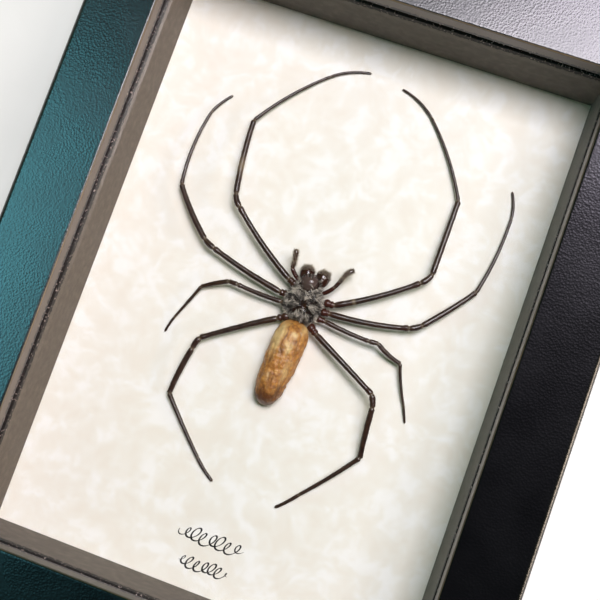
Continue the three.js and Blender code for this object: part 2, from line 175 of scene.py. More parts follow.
class FrameSettings(bpy.types.PropertyGroup):
    """Sizes and colours of the frame, its glass and its card."""

    lip_reach: bpy.props.FloatProperty(
        name="Lip reach", description="How far the lip covers the glass", default=6 * MM, unit="LENGTH")
    lip_thickness: bpy.props.FloatProperty(
        name="Lip thickness", description="From the face to the glass", default=6.4 * MM, unit="LENGTH")
    inner_arris: bpy.props.FloatProperty(
        name="Inner arris", description="Radius of the edge round the opening", default=0.8 * MM,
        unit="LENGTH")
    outer_arris: bpy.props.FloatProperty(
        name="Outer arris", description="Radius of the edge round the outside", default=1.6 * MM,
        unit="LENGTH")
    paint: bpy.props.StringProperty(
        name="Paint", description="Black of the frame, as sRGB hex", default="#07080a")
    # Taupe drawn lighter than the black paint down the inside: painted reflection of the card's light in it
    lining_with_painted_reflection: bpy.props.StringProperty(
        name="Lining", description="Dusty dark paint down the inside, as sRGB hex", default="#5f564d")
    paper_light: bpy.props.StringProperty(
        name="Pale clouds", description="Lightest tone of the marbled paper, as sRGB hex", default="#fefbf7")
    paper_cream: bpy.props.StringProperty(
        name="Cream clouds", description="Warm tone of the marbled paper, as sRGB hex", default="#f5eee3")


class SpiderSettings(bpy.types.PropertyGroup):
    """Hair and colours of the spider."""

    carapace_hairs: bpy.props.IntProperty(
        name="Carapace hairs", description="Silvery hairs on the carapace", default=3300, min=0)
    leg_hairs: bpy.props.IntProperty(
        name="Hairs on a leg", description="Short bristles on each leg", default=420, min=0)
    hair_length: bpy.props.FloatProperty(
        name="Hair length", description="Length of the carapace's hairs", default=1.35 * MM, unit="LENGTH")
    shell: bpy.props.StringProperty(
        name="Shell", description="Dark brown of the legs, as sRGB hex", default="#20110b")
    skin: bpy.props.StringProperty(
        name="Skin", description="Tan of the abdomen, as sRGB hex", default="#c98c42")


class StageSettings(bpy.types.PropertyGroup):
    """Camera, lights and floor."""

    camera_place: bpy.props.FloatVectorProperty(
        name="Camera", description="Place of the camera", default=(0.02917, -0.01804, 0.30375),
        subtype="TRANSLATION", unit="LENGTH")
    camera_aim: bpy.props.FloatVectorProperty(
        name="Aim", description="Point on the card in the middle of the picture",
        default=(0.00037, 0.00385, 0.01), subtype="TRANSLATION", unit="LENGTH")
    camera_roll: bpy.props.FloatProperty(
        name="Roll", description="Turn of the camera about its line of sight",
        default=math.radians(-33.15), subtype="ANGLE", unit="ROTATION")
    lens: bpy.props.FloatProperty(
        name="Lens", description="Focal length on a 36 mm sensor, in millimetres", default=57.31)
    key_power: bpy.props.FloatProperty(
        name="Key light", description="Power of the wide soft light over the upper right", default=6.9,
        unit="POWER")
    side_power: bpy.props.FloatProperty(
        name="Side light", description="Power of the lower light from the right", default=2.2, unit="POWER")
    rim_power: bpy.props.FloatProperty(
        name="Rim light", description="Power of the high light on the top and right rails and the spacers",
        default=27.0, unit="POWER")
    fill_power: bpy.props.FloatProperty(
        name="Fill light", description="Power of the cool light from the left on the rails and the spacers",
        default=11.5, unit="POWER")
    bounce_power: bpy.props.FloatProperty(
        name="Bounce light", description="Power of the low warm light from the right", default=34.0,
        unit="POWER")
    room_light: bpy.props.FloatProperty(
        name="Room light", description="Strength of the light from all round", default=0.15)
    horizon_light: bpy.props.FloatProperty(
        name="Horizon light", description="Strength of the pale light near the floor", default=0.8)


# Small tools: colours, nodes, meshes


def colour(code):
    """Linear RGBA of an sRGB hex colour."""
    channels = [int(code[i:i + 2], 16) / 255 for i in (1, 3, 5)]
    return [c / 12.92 if c <= 0.04045 else ((c + 0.055) / 1.055) ** 2.4 for c in channels] + [1.0]


def per_mm(size):
    """Scale of a pattern in Object coordinates whose cells measure that many millimetres."""
    return 1 / (size * MM)


def set_sockets(tree, node, inputs):
    """Gives a node's inputs their values, or links them to the sockets given instead."""
    for key, value in inputs.items():
        if isinstance(value, bpy.types.NodeSocket):
            tree.links.new(value, node.inputs[key])
        else:
            node.inputs[key].default_value = value


def add(tree, kind, inputs=None, stops=None, **settings):
    """Adds a node with its own options, its inputs' values or links, and a ramp's stops."""
    node = tree.nodes.new(kind)
    for name, value in settings.items():
        setattr(node, name, value)
    set_sockets(tree, node, inputs or {})
    if stops:
        ramp = node.color_ramp.elements
        for _ in range(len(stops) - 2):
            ramp.new(0.5)
        for element, (position, code) in zip(ramp, stops):
            element.position = position
            element.color = colour(code)
    return node


def start_material(name):
    """A node material with a Principled shader, as (material, tree, shader, Object coordinates)."""
    material = bpy.data.materials.new(name)
    material.use_nodes = True
    tree = material.node_tree
    tree.nodes.clear()
    shader = add(tree, "ShaderNodeBsdfPrincipled")
    add(tree, "ShaderNodeOutputMaterial", {"Surface": shader.outputs[0]})
    place = add(tree, "ShaderNodeTexCoord").outputs["Object"]
    return material, tree, shader, place


def make_piece(name, points, faces, material, replaced=(), attributes=None, sharp=40):
    """A mesh piece from points in metres and faces; edges sharper than that many degrees stay crisp."""
    mesh = bpy.data.meshes.new(name)
    mesh.from_pydata(np.asarray(points).reshape(-1, 3).tolist(), [], faces)
    mesh.polygons.foreach_set("use_smooth", np.ones(len(mesh.polygons), dtype=bool))
    mesh.set_sharp_from_angle(angle=math.radians(sharp))
    for key, values in (attributes or {}).items():
        layer = mesh.attributes.new(key, "FLOAT", "POINT")
        layer.data.foreach_set("value", np.asarray(values, dtype=np.float32).ravel())
    mesh.materials.append(material)
    mesh.update()
    piece = bpy.data.objects.new(name, mesh)
    bpy.context.scene.collection.objects.link(piece)
    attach(piece, BODY)
    if replaced:
        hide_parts(*replaced)
    return piece


def dress(node, material):
    """Gives a solid that keeps its shape its finish."""
    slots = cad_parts[node].data.materials
    slots.clear()
    slots.append(material)


def tube_faces(rings, sides):
    """Quads between neighbouring rings of a tube that run along it, and a cap on each end."""
    row = np.arange(rings - 1)[:, None] * sides
    here = np.arange(sides)[None, :]
    after = (here + 1) % sides
    quads = np.stack([row + here, row + after, row + sides + after, row + sides + here], axis=-1)
    first = list(range(sides - 1, -1, -1))
    last = list(range((rings - 1) * sides, rings * sides))
    return quads.reshape(-1, 4).tolist() + [first, last]


def unit(vectors):
    """Vectors of length one."""
    return vectors / np.maximum(np.linalg.norm(vectors, axis=-1, keepdims=True), 1e-12)


def ring_frames(centres, upright=False):
    """Sideways and upward directions square to the path through the centres, as (side, up, along) arrays."""
    along = np.gradient(centres, axis=0)
    if upright:
        along[:, 2] = 0
    along = unit(along)
    side = unit(np.cross(np.array((0.0, 0.0, 1.0)), along))
    return side, np.cross(along, side), along


def loft(centres, wide, high, sides, upright=False):
    """Point (i, j) is centre i plus side times wide times cos a plus up times high times sin a, where a goes
    round with j."""
    side, up, _ = ring_frames(centres, upright)
    angle = np.linspace(0, 2 * np.pi, sides, endpoint=False)
    wide = np.broadcast_to(np.asarray(wide, dtype=float).reshape(len(centres), -1), (len(centres), sides))
    high = np.broadcast_to(np.asarray(high, dtype=float).reshape(len(centres), -1), (len(centres), sides))
    return (centres[:, None] + side[:, None] * (wide * np.cos(angle))[..., None]
            + up[:, None] * (high * np.sin(angle))[..., None])


def surface_normals(points):
    """Outward normals of a lofted grid, from the cross product of its two directions."""
    round_way = np.roll(points, -1, axis=1) - np.roll(points, 1, axis=1)
    long_way = np.gradient(points, axis=0)
    return unit(np.cross(round_way, long_way))


def smooth_through(knots, values, at):
    """Cubic curve through the values, with slopes that keep each rise between its knots."""
    knots, values = np.asarray(knots, dtype=float), np.asarray(values, dtype=float)
    step = np.diff(knots)
    rise = np.diff(values) / step
    slope = np.concatenate([[rise[0]], (rise[1:] + rise[:-1]) / 2, [rise[-1]]])
    flat = np.concatenate([[False], rise[1:] * rise[:-1] <= 0, [False]])
    slope[flat] = 0
    i = np.clip(np.searchsorted(knots, at, side="right") - 1, 0, len(step) - 1)
    t = (at - knots[i]) / step[i]
    return ((2 * t**3 - 3 * t**2 + 1) * values[i] + (t**3 - 2 * t**2 + t) * step[i] * slope[i]
            + (3 * t**2 - 2 * t**3) * values[i + 1] + (t**3 - t**2) * step[i] * slope[i + 1])


def noise(points, cell, seed):
    """Smooth noise from -1 to 1: hashed values at the corners of cells of that size, blended between them."""
    scaled = np.asarray(points) / cell
    base = np.floor(scaled).astype(np.int64)
    part = scaled - base
    part = part * part * (3 - 2 * part)
    total = np.zeros(scaled.shape[:-1])
    for corner in itertools.product((0, 1), repeat=3):
        c = base + np.array(corner)
        mixed = (c[..., 0] * 73856093) ^ (c[..., 1] * 19349663) ^ (c[..., 2] * 83492791) ^ (seed * 40503)
        mixed = ((mixed & 0xFFFFFFFF) * 2246822519) & 0xFFFFFFFF
        mixed = ((mixed ^ (mixed >> 15)) * 3266489917) & 0xFFFFFFFF
        value = (mixed ^ (mixed >> 13)) & 0xFFFF
        weight = np.prod(np.where(np.array(corner) == 1, part, 1 - part), axis=-1)
        total += weight * value / 65535
    return total * 2 - 1


def on_card(points):
    """Spider's millimetres to metres in the frame's own axes."""
    return (np.asarray(points) + np.array((*SPIDER_PLACE, 0.0))) * MM + np.array((0.0, 0.0, CARD_TOP))


def hair_coat(name, roots, directions, bends, lengths, radii, tones, material):
    """Each hair is a tapering three-sided spike. With t from 0 to 1 along it and s = t times its length, its
    centre is root + direction times s + bend times s t."""
    share = np.array((0.0, 0.45, 1.0))
    taper = np.array((1.0, 0.75, 0.12))
    count = len(roots)
    run = lengths[:, None] * share
    centres = (roots[:, None] + directions[:, None] * run[..., None]
               + bends[:, None] * (run * share)[..., None])
    across = unit(np.cross(directions, np.array((0.31, 0.17, 0.94))))
    other = np.cross(directions, across)
    angle = np.radians((0.0, 120.0, 240.0))
    ring = across[:, None] * np.cos(angle)[None, :, None] + other[:, None] * np.sin(angle)[None, :, None]
    points = centres[:, :, None] + ring[:, None] * (radii[:, None] * taper)[:, :, None, None]
    base = np.array(tube_faces(3, 3)[:-2])
    offset = np.arange(count)[:, None, None] * 9
    quads = (base[None] + offset).reshape(-1, 4)
    ends = np.array(((2, 1, 0), (6, 7, 8)))
    caps = (ends[None] + offset).reshape(-1, 3)
    tone = np.repeat(tones, 9)
    return make_piece(name, on_card(points), quads.tolist() + caps.tolist(), material,
                      attributes={"tone": tone}, sharp=180)


# Finishes


def slot_shade_and_glints(tree, place, tint, edge, reach):
    """Colour beside the slot that holds the glass: within that reach of the edge, ragged dark patches are
    painted shade of the slot, with a few pale specks as painted glints."""
    upward = add(tree, "ShaderNodeSeparateXYZ", {0: place}).outputs["Z"]
    near = add(tree, "ShaderNodeMapRange", {"Value": upward, "From Min": edge + reach, "From Max": edge})
    ragged = add(tree, "ShaderNodeTexNoise",
                 {"Vector": place, "Scale": per_mm(1.1), "Detail": 3.0, "Roughness": 0.75})
    broken = add(tree, "ShaderNodeMath", {0: near.outputs[0], 1: ragged.outputs[0]}, operation="ADD")
    # Ragged mask of the painted shade along the slot
    bare = add(tree, "ShaderNodeMapRange", {"Value": broken.outputs[0], "From Min": 0.86, "From Max": 0.96})
    fine = add(tree, "ShaderNodeTexNoise", {"Vector": place, "Scale": per_mm(0.8), "Detail": 1.0})
    glint_mask = add(tree, "ShaderNodeMapRange",
                   {"Value": fine.outputs[0], "From Min": 0.62, "From Max": 0.72})
    # Painted shade of the slot (#120c0a) with painted glints (#9c8a84) in it
    wood = add(tree, "ShaderNodeMix", {0: glint_mask.outputs[0], 6: colour("#120c0a"), 7: colour("#9c8a84")},
               data_type="RGBA")
    slot_shaded = add(tree, "ShaderNodeMix", {0: bare.outputs[0], 6: tint, 7: wood.outputs[2]}, data_type="RGBA")
    return slot_shaded.outputs[2]


def satin_black_paint(settings):
    """Black enamel sprayed on wood: near black with a fine leathery grain on the face, rubbed brown along the
    inner arris, and down the inside a lighter taupe as painted reflection of the card, with painted shade
    and painted glints along the slot."""
    material, tree, shader, place = start_material("satin black paint on wood")
    # A grain of half a millimetre is lost in the render, so it is drawn a little coarser to show.
    pebble = add(tree, "ShaderNodeTexVoronoi", {"Vector": place, "Scale": per_mm(0.64), "Randomness": 1.0})
    bump = add(tree, "ShaderNodeBump",
               {"Strength": 0.4, "Distance": 0.08 * MM, "Height": pebble.outputs["Distance"]})
    patches = add(tree, "ShaderNodeTexNoise", {"Vector": place, "Scale": per_mm(14), "Detail": 4.0})
    tint = add(tree, "ShaderNodeValToRGB", {"Fac": patches.outputs[0]},
               stops=((0.3, settings.paint), (0.75, "#101114")))
    # Painted shade and painted glints of the glass slot along the lower edge of the lip
    slot_shaded = slot_shade_and_glints(tree, place, colour(settings.lining_with_painted_reflection), frame_lip(settings), 3.0 * MM)
    inside = add(tree, "ShaderNodeAttribute", attribute_name="inside").outputs["Fac"]
    arris = add(tree, "ShaderNodeMath", {0: inside, 1: 0.5}, operation="PINGPONG")
    rub = add(tree, "ShaderNodeMath", {0: arris.outputs[0], 1: patches.outputs[0]}, operation="MULTIPLY")
    rubbed = add(tree, "ShaderNodeMapRange",
                 {"Value": rub.outputs[0], "From Min": 0.12, "From Max": 0.24, "To Max": 0.8})
    # Inside faces take the lighter taupe, painted reflection of the card's light on the black paint
    lined = add(tree, "ShaderNodeMix", {0: inside, 6: tint.outputs[0], 7: slot_shaded}, data_type="RGBA")
    edged = add(tree, "ShaderNodeMix",
                {0: rubbed.outputs[0], 6: lined.outputs[2], 7: colour("#6e5637")}, data_type="RGBA")
    gloss = add(tree, "ShaderNodeMapRange", {"Value": patches.outputs[0], "To Min": 0.22, "To Max": 0.32})
    duller = add(tree, "ShaderNodeMath", {0: inside, 1: 0.2, 2: gloss.outputs[0]}, operation="MULTIPLY_ADD")
    set_sockets(tree, shader, {
        "Base Color": edged.outputs[2], "Roughness": duller.outputs[0], "IOR": 1.55,
        "Normal": bump.outputs[0],
    })
    return material


def dull_lining_paint(settings):
    """The coat on the spacers: dark taupe, lighter than black as painted reflection of the card, with a
    soft grain, and painted shade with painted glints at the top edge along the slot.
    """
    material, tree, shader, place = start_material("dull dark paint on spacers")
    cloud = add(tree, "ShaderNodeTexNoise", {"Vector": place, "Scale": per_mm(2.4), "Detail": 5.0})
    # Taupe tones lighter than black paint: painted reflection of the card's light on the spacers
    tint = add(tree, "ShaderNodeValToRGB", {"Fac": cloud.outputs[0]},
               stops=((0.2, "#564d45"), (0.5, settings.lining_with_painted_reflection), (0.85, "#6f655b")))
    bump = add(tree, "ShaderNodeBump", {"Strength": 0.2, "Distance": 0.05 * MM, "Height": cloud.outputs[0]})
    # Painted shade and painted glints of the glass slot along the top edge of the spacers
    slot_shaded = slot_shade_and_glints(tree, place, tint.outputs[0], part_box("spacer_top")[1].z, -3.6 * MM)
    set_sockets(tree, shader, {"Base Color": slot_shaded, "Roughness": 0.65, "Specular IOR Level": 0.25,
                                 "Normal": bump.outputs[0]})
    return material


def clear_glass():
    """Thin float glass: clear, polished, letting light through without a shadow."""
    material, tree, shader, _ = start_material("clear float glass")
    set_sockets(tree, shader, {
        "Base Color": colour("#fbfefd"), "Roughness": 0.0, "IOR": 1.5, "Transmission Weight": 1.0,
    })
    ray = add(tree, "ShaderNodeLightPath")
    open_way = add(tree, "ShaderNodeBsdfTransparent")
    soft_light = add(tree, "ShaderNodeMath",
                     {0: ray.outputs["Is Shadow Ray"], 1: ray.outputs["Is Reflection Ray"]},
                     operation="MAXIMUM")
    blend = add(tree, "ShaderNodeMixShader", {
        0: soft_light.outputs[0], 1: shader.outputs[0], 2: open_way.outputs[0],
    })
    output = next(n for n in tree.nodes if n.type == "OUTPUT_MATERIAL")
    tree.links.new(blend.outputs[0], output.inputs["Surface"])
    return material


def marbled_parchment(settings):
    """Parchment paper with a printed cloud marbling: cream and near white patches a few millimetres wide."""
    material, tree, shader, place = start_material("marbled parchment paper")
    drift = add(tree, "ShaderNodeTexNoise", {"Vector": place, "Scale": per_mm(16), "Detail": 2.0})
    swirl = add(tree, "ShaderNodeMix", {0: 0.012, 6: place, 7: drift.outputs["Color"]},
                data_type="RGBA", blend_type="ADD")
    clouds = add(tree, "ShaderNodeTexNoise",
                 {"Vector": swirl.outputs[2], "Scale": per_mm(7), "Detail": 5.0, "Roughness": 0.6})
    tint = add(tree, "ShaderNodeValToRGB", {"Fac": clouds.outputs[0]},
               stops=((0.36, settings.paper_cream), (0.5, "#f8f3ea"), (0.62, settings.paper_light)))
    # Paper fibres are finer than this; they are drawn coarser so that they show.
    fibre = add(tree, "ShaderNodeTexNoise", {"Vector": place, "Scale": per_mm(0.5), "Detail": 2.0})
    bump = add(tree, "ShaderNodeBump", {"Strength": 0.15, "Distance": 0.03 * MM, "Height": fibre.outputs[0]})
    set_sockets(tree, shader, {"Base Color": tint.outputs[0], "Roughness": 0.8, "Normal": bump.outputs[0]})
    return material


def pressed_hardboard():
    """Pressed wood fibre: dull brown with short matted fibres."""
    material, tree, shader, place = start_material("pressed hardboard")
    fibre = add(tree, "ShaderNodeTexNoise",
                {"Vector": place, "Scale": per_mm(1.3), "Detail": 6.0, "Distortion": 1.2})
    tint = add(tree, "ShaderNodeValToRGB", {"Fac": fibre.outputs[0]},
               stops=((0.3, "#4a3322"), (0.7, "#7c5c3e")))
    bump = add(tree, "ShaderNodeBump", {"Strength": 0.5, "Distance": 0.15 * MM, "Height": fibre.outputs[0]})
    set_sockets(tree, shader, {"Base Color": tint.outputs[0], "Roughness": 0.75, "Normal": bump.outputs[0]})
    return material


def zinc_steel():
    """Stamped steel with a dull zinc plating: cool grey metal with cloudy gloss."""
    material, tree, shader, place = start_material("zinc plated steel")
    cloud = add(tree, "ShaderNodeTexNoise", {"Vector": place, "Scale": per_mm(3), "Detail": 4.0})
    tint = add(tree, "ShaderNodeValToRGB", {"Fac": cloud.outputs[0]},
               stops=((0.3, "#9a9da0"), (0.7, "#c4c6c8")))
    gloss = add(tree, "ShaderNodeMapRange", {"Value": cloud.outputs[0], "To Min": 0.28, "To Max": 0.5})
    set_sockets(tree, shader, {"Base Color": tint.outputs[0], "Metallic": 1.0, "Roughness": gloss.outputs[0]})
    return material


def brown_shell(name, dark, warm, roughness, relief=0.35):
    """Dry spider shell: nearly black brown, reddish near the body, pale skin in the joints, glossy."""
    material, tree, shader, place = start_material(name)
    mottle = add(tree, "ShaderNodeTexNoise", {"Vector": place, "Scale": per_mm(1.6), "Detail": 4.0})
    base = add(tree, "ShaderNodeValToRGB", {"Fac": mottle.outputs[0]},
               stops=((0.35, dark), (0.7, "#3a2416")))
    rust = add(tree, "ShaderNodeAttribute", attribute_name="rust").outputs["Fac"]
    warmer = add(tree, "ShaderNodeMix", {0: rust, 6: base.outputs[0], 7: colour(warm)}, data_type="RGBA")
    joint = add(tree, "ShaderNodeAttribute", attribute_name="tone").outputs["Fac"]
    paler = add(tree, "ShaderNodeMix", {0: joint, 6: warmer.outputs[2], 7: colour("#8f7d63")},
                data_type="RGBA")
    grain = add(tree, "ShaderNodeTexNoise", {"Vector": place, "Scale": per_mm(0.35), "Detail": 3.0})
    bump = add(tree, "ShaderNodeBump",
               {"Strength": relief, "Distance": 0.05 * MM, "Height": grain.outputs[0]})
    gloss = add(tree, "ShaderNodeMapRange",
                {"Value": mottle.outputs[0], "To Min": roughness - 0.07, "To Max": roughness + 0.1})
    set_sockets(tree, shader, {
        "Base Color": paler.outputs[2], "Roughness": gloss.outputs[0], "IOR": 1.56,
        "Normal": bump.outputs[0],
    })
    return material


def tan_skin(settings):
    """Dried abdomen skin: ochre with straw streaks and reddish brown folds, waxy and wrinkled."""
    material, tree, shader, place = start_material("dry tan skin")
    blotch = add(tree, "ShaderNodeTexNoise",
                 {"Vector": place, "Scale": per_mm(1.3), "Detail": 7.0, "Roughness": 0.8})
    base = add(tree, "ShaderNodeValToRGB", {"Fac": blotch.outputs[0]},
               stops=((0.3, "#834f24"), (0.47, "#b5783a"), (0.56, settings.skin), (0.72, "#e3b878")))
    fold = add(tree, "ShaderNodeAttribute", attribute_name="fold").outputs["Fac"]
    browner = add(tree, "ShaderNodeMix", {0: fold, 6: base.outputs[0], 7: colour("#5a2f18")},
                  data_type="RGBA")
    straw = add(tree, "ShaderNodeAttribute", attribute_name="straw").outputs["Fac"]
    paler = add(tree, "ShaderNodeMix", {0: straw, 6: browner.outputs[2], 7: colour("#e6c68c")},
                data_type="RGBA")
    speck = add(tree, "ShaderNodeTexNoise", {"Vector": place, "Scale": per_mm(0.5), "Detail": 3.0})
    dots = add(tree, "ShaderNodeMapRange",
               {"Value": speck.outputs[0], "From Min": 0.6, "From Max": 0.75, "To Min": 0.0, "To Max": 0.35})
    dotted = add(tree, "ShaderNodeMix",
                 {0: dots.outputs[0], 6: paler.outputs[2], 7: colour("#6a3d1c")}, data_type="RGBA")
    drawn = add(tree, "ShaderNodeMapping", {"Vector": place, "Scale": (1.0, 0.45, 1.0)})
    wrinkle = add(tree, "ShaderNodeTexNoise",
                  {"Vector": drawn.outputs[0], "Scale": per_mm(0.7), "Detail": 5.0, "Roughness": 0.65})
    bump = add(tree, "ShaderNodeBump", {"Strength": 1.0, "Distance": 0.2 * MM, "Height": wrinkle.outputs[0]})
    set_sockets(tree, shader, {
        "Base Color": dotted.outputs[2], "Roughness": 0.42, "IOR": 1.5, "Normal": bump.outputs[0],
        "Subsurface Weight": 0.12, "Subsurface Radius": (1.0, 0.5, 0.2), "Subsurface Scale": 0.6 * MM,
    })
    return material


def hair_finish(name, dark, pale):
    """Fine hair: each hair has its own tone between a dark and a pale one, with a soft sheen."""
    material, tree, shader, _ = start_material(name)
    tone = add(tree, "ShaderNodeAttribute", attribute_name="tone").outputs["Fac"]
    tint = add(tree, "ShaderNodeMix", {0: tone, 6: colour(dark), 7: colour(pale)}, data_type="RGBA")
    set_sockets(tree, shader, {"Base Color": tint.outputs[2], "Roughness": 0.45})
    return material


def pen_ink():
    """Dark drawing ink soaked into paper: flat, with slightly uneven blackness."""
    material, tree, shader, place = start_material("drawing ink")
    blot = add(tree, "ShaderNodeTexNoise", {"Vector": place, "Scale": per_mm(0.8), "Detail": 2.0})
    tint = add(tree, "ShaderNodeValToRGB", {"Fac": blot.outputs[0]},
               stops=((0.3, "#1f1e1d"), (0.8, "#3c3a37")))
    set_sockets(tree, shader, {"Base Color": tint.outputs[0], "Roughness": 0.9, "Specular IOR Level": 0.2})
    return material


# Frame


def frame_lip(settings):
    """Height of the underside of the lip."""
    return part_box("rail_left")[1].z - settings.lip_thickness


def rounded_outline(corners, radii, steps=6, margin=0.25 * MM):
    """Closed outline in which each corner is an arc of its radius, with a point beside each end of it."""
    corners = np.asarray(corners, dtype=float)
    outline = []
    for i, corner in enumerate(corners):
        to_last = unit(corners[i - 1] - corner)
        to_next = unit(corners[(i + 1) % len(corners)] - corner)
        radius = radii[i]
        if radius == 0:
            outline.append(corner[None])
            continue
        centre = corner + (to_last + to_next) * radius
        turn = np.linspace(0, np.pi / 2, steps + 1)[:, None]
        arc = centre - to_next * radius * np.cos(turn) - to_last * radius * np.sin(turn)
        before = corner + to_last * (radius + margin)
        after = corner + to_next * (radius + margin)
        outline.append(np.vstack([before, arc, after]))
    return np.vstack(outline)


def rail_points(outline, sight_half):
    """The moulding's outline carried along the rail. At the mitre on each end, a point lies as far past the
    opening's corner as it lies from the opening."""
    reach = sight_half + outline[:, 0]
    ends = [np.column_stack([end * reach, outline[:, 0], outline[:, 1]]) for end in (1, -1)]
    return np.array(ends)


class SPECIMEN_OT_rails(bpy.types.Operator):
    """Four mitred rails with softened edges, in pebbled black paint."""

    bl_idname = "specimen.rails"
    bl_label = "Painted rails"

    def execute(self, context):
        settings = context.scene.specimen_frame
        paint = satin_black_paint(settings)
        left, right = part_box("rail_left"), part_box("rail_right")
        bottom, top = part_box("rail_bottom"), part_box("rail_top")
        face = left[1].x - left[0].x
        depth = left[1].z
        lip = frame_lip(settings)
        reach = settings.lip_reach
        corners = ((0, lip), (reach, lip), (reach, 0), (face, 0), (face, depth), (0, depth))
        radii = (0.6 * MM, 0, 0.3 * MM, 0.5 * MM, settings.outer_arris, settings.inner_arris)
        outline = rounded_outline(corners, radii)
        inside = np.clip(1 - outline[:, 0] / (0.5 * settings.inner_arris), 0, 1)
        sides = (
            ("rail_top", 0, top[0].y, right[0].x), ("rail_left", 90, -left[1].x, top[0].y),
            ("rail_bottom", 180, -bottom[1].y, right[0].x), ("rail_right", 270, right[0].x, top[0].y),
        )
        seam = 0.03 * MM
        for node, turn, offset, sight_half in sides:
            points = rail_points(outline, sight_half - seam).reshape(-1, 3) + np.array((0, offset, 0))
            turned = points @ np.array(Matrix.Rotation(math.radians(turn), 3, "Z")).T
            make_piece(f"painted_{node}", turned, tube_faces(2, len(outline)), paint, (node,),
                       {"inside": np.tile(inside, 2)})
        # Spacers get the lighter taupe, painted reflection of the card, with the slot's painted shade
        lining_with_painted_reflection = dull_lining_paint(settings)
        for node in SPACERS:
            dress(node, lining_with_painted_reflection)
        return {"FINISHED"}


class SPECIMEN_OT_layers(bpy.types.Operator):
    """Glass, marbled card, back board and the steel fittings behind it."""

    bl_idname = "specimen.layers"
    bl_label = "Glass, card and back"

    def execute(self, context):
        dress("glass_pane", clear_glass())
        dress("mount_card", marbled_parchment(context.scene.specimen_frame))
        dress("back_board", pressed_hardboard())
        steel = zinc_steel()
        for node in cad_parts:
            if node.startswith("tab_") or node == "hanger":
                dress(node, steel)
        return {"FINISHED"}


def flourish_points(length, loops, swing, height, centre):
    """A slanted pen stroke that loops along a line. With t from -1 to 1 and p = 2 pi loops t, the stroke is
    at x = half length t - swing h sin p and y = height h cos p, where h swells and shrinks along the line.
    Every y moves x by its share of the slant, and the half width follows a broad nib held at 40 degrees."""
    t = np.linspace(-1, 1, 640)
    phase = 2 * np.pi * loops * t
    swell = (1 - t**6) * (0.55 + 0.45 * np.cos(2.6 * np.pi * t + 0.8) ** 2)
    y = height * swell * np.cos(phase)
    x = length / 2 * t - swing * swell * np.sin(phase) + 0.45 * y
    heading = np.arctan2(np.gradient(y), np.gradient(x))
    half_width = (0.1 + 0.2 * np.abs(np.sin(heading - math.radians(40)))) * (1 - t**8)
    centres = np.column_stack([x + centre[0], y + centre[1], np.full_like(x, 0.02)])
    return loft(centres, half_width + 0.01, np.full_like(x, 0.012), 6, upright=True)


class SPECIMEN_OT_flourish(bpy.types.Operator):
    """Two looped pen strokes in ink below the spider."""

    bl_idname = "specimen.flourish"
    bl_label = "Pen flourish"

    def execute(self, context):
        ink = pen_ink()
        strokes = (
            ("ink_flourish_upper", 21, 4.0, 1.7, 2.4, (-0.2, -74.2)),
            ("ink_flourish_lower", 16, 3.5, 1.4, 2.1, (0.3, -82.4)),
        )
        for name, length, loops, swing, height, centre in strokes:
            points = flourish_points(length, loops, swing, height, centre)
            placed = points * MM + np.array((0, 0, CARD_TOP))
            make_piece(name, placed, tube_faces(*points.shape[:2]), ink, sharp=180)
        return {"FINISHED"}


# Spider


def limb_path(hip, lengths, headings, bends, heights, radii, step):
    """Centres and radii along a limb. Each part is an arc seen from above: the chord of an arc of length s
    that bends by b is s sin(b/2) / (b/2) long, at half the bend from the first heading. Also gives the part
    that each ring is in, and its distance to the nearer end of that part."""
    start = np.array((*hip, HIP_HEIGHT), dtype=float)
    centres, sizes, parts, to_joint = [], [], [], []
    for i, length in enumerate(lengths):
        share = np.linspace(0, 1, max(6, round(length / step)), endpoint=i == len(lengths) - 1)
        bend = np.radians(bends[i]) * np.append(share, 1.0)
        heading = math.radians(headings[i]) + bend / 2
        chord = length * np.append(share, 1.0) * np.sinc(bend / 2 / np.pi)
        height = start[2] + (heights[i] - start[2]) * np.append(share, 1.0)
        arc = np.column_stack(
            [start[0] + chord * np.cos(heading), start[1] + chord * np.sin(heading), height])
        centres.append(arc[:-1])
        knots, values = np.array(radii[i]).T
        sizes.append(smooth_through(knots, values, share))
        parts.append(np.full(len(share), i))
        to_joint.append(np.minimum(share, 1 - share) * length)
        start = arc[-1]
    return np.vstack(centres), np.concatenate(sizes), np.concatenate(parts), np.concatenate(to_joint)


def soften(path, passes):
    """Rounds a path's corners by averaging each inner point with its neighbours a few times."""
    path = path.copy()
    for _ in range(passes):
        path[1:-1] = (path[:-2] + 2 * path[1:-1] + path[2:]) / 4
    return path


def scatter_hairs(points, normals, rows, columns, lean, random, spread=0.35):
    """Roots and directions of hairs at those grid places: the surface normal plus the lean, with scatter."""
    roots = points[rows, columns]
    direction = normals[rows, columns] + lean + random.normal(0, spread, roots.shape)
    return roots, unit(direction)


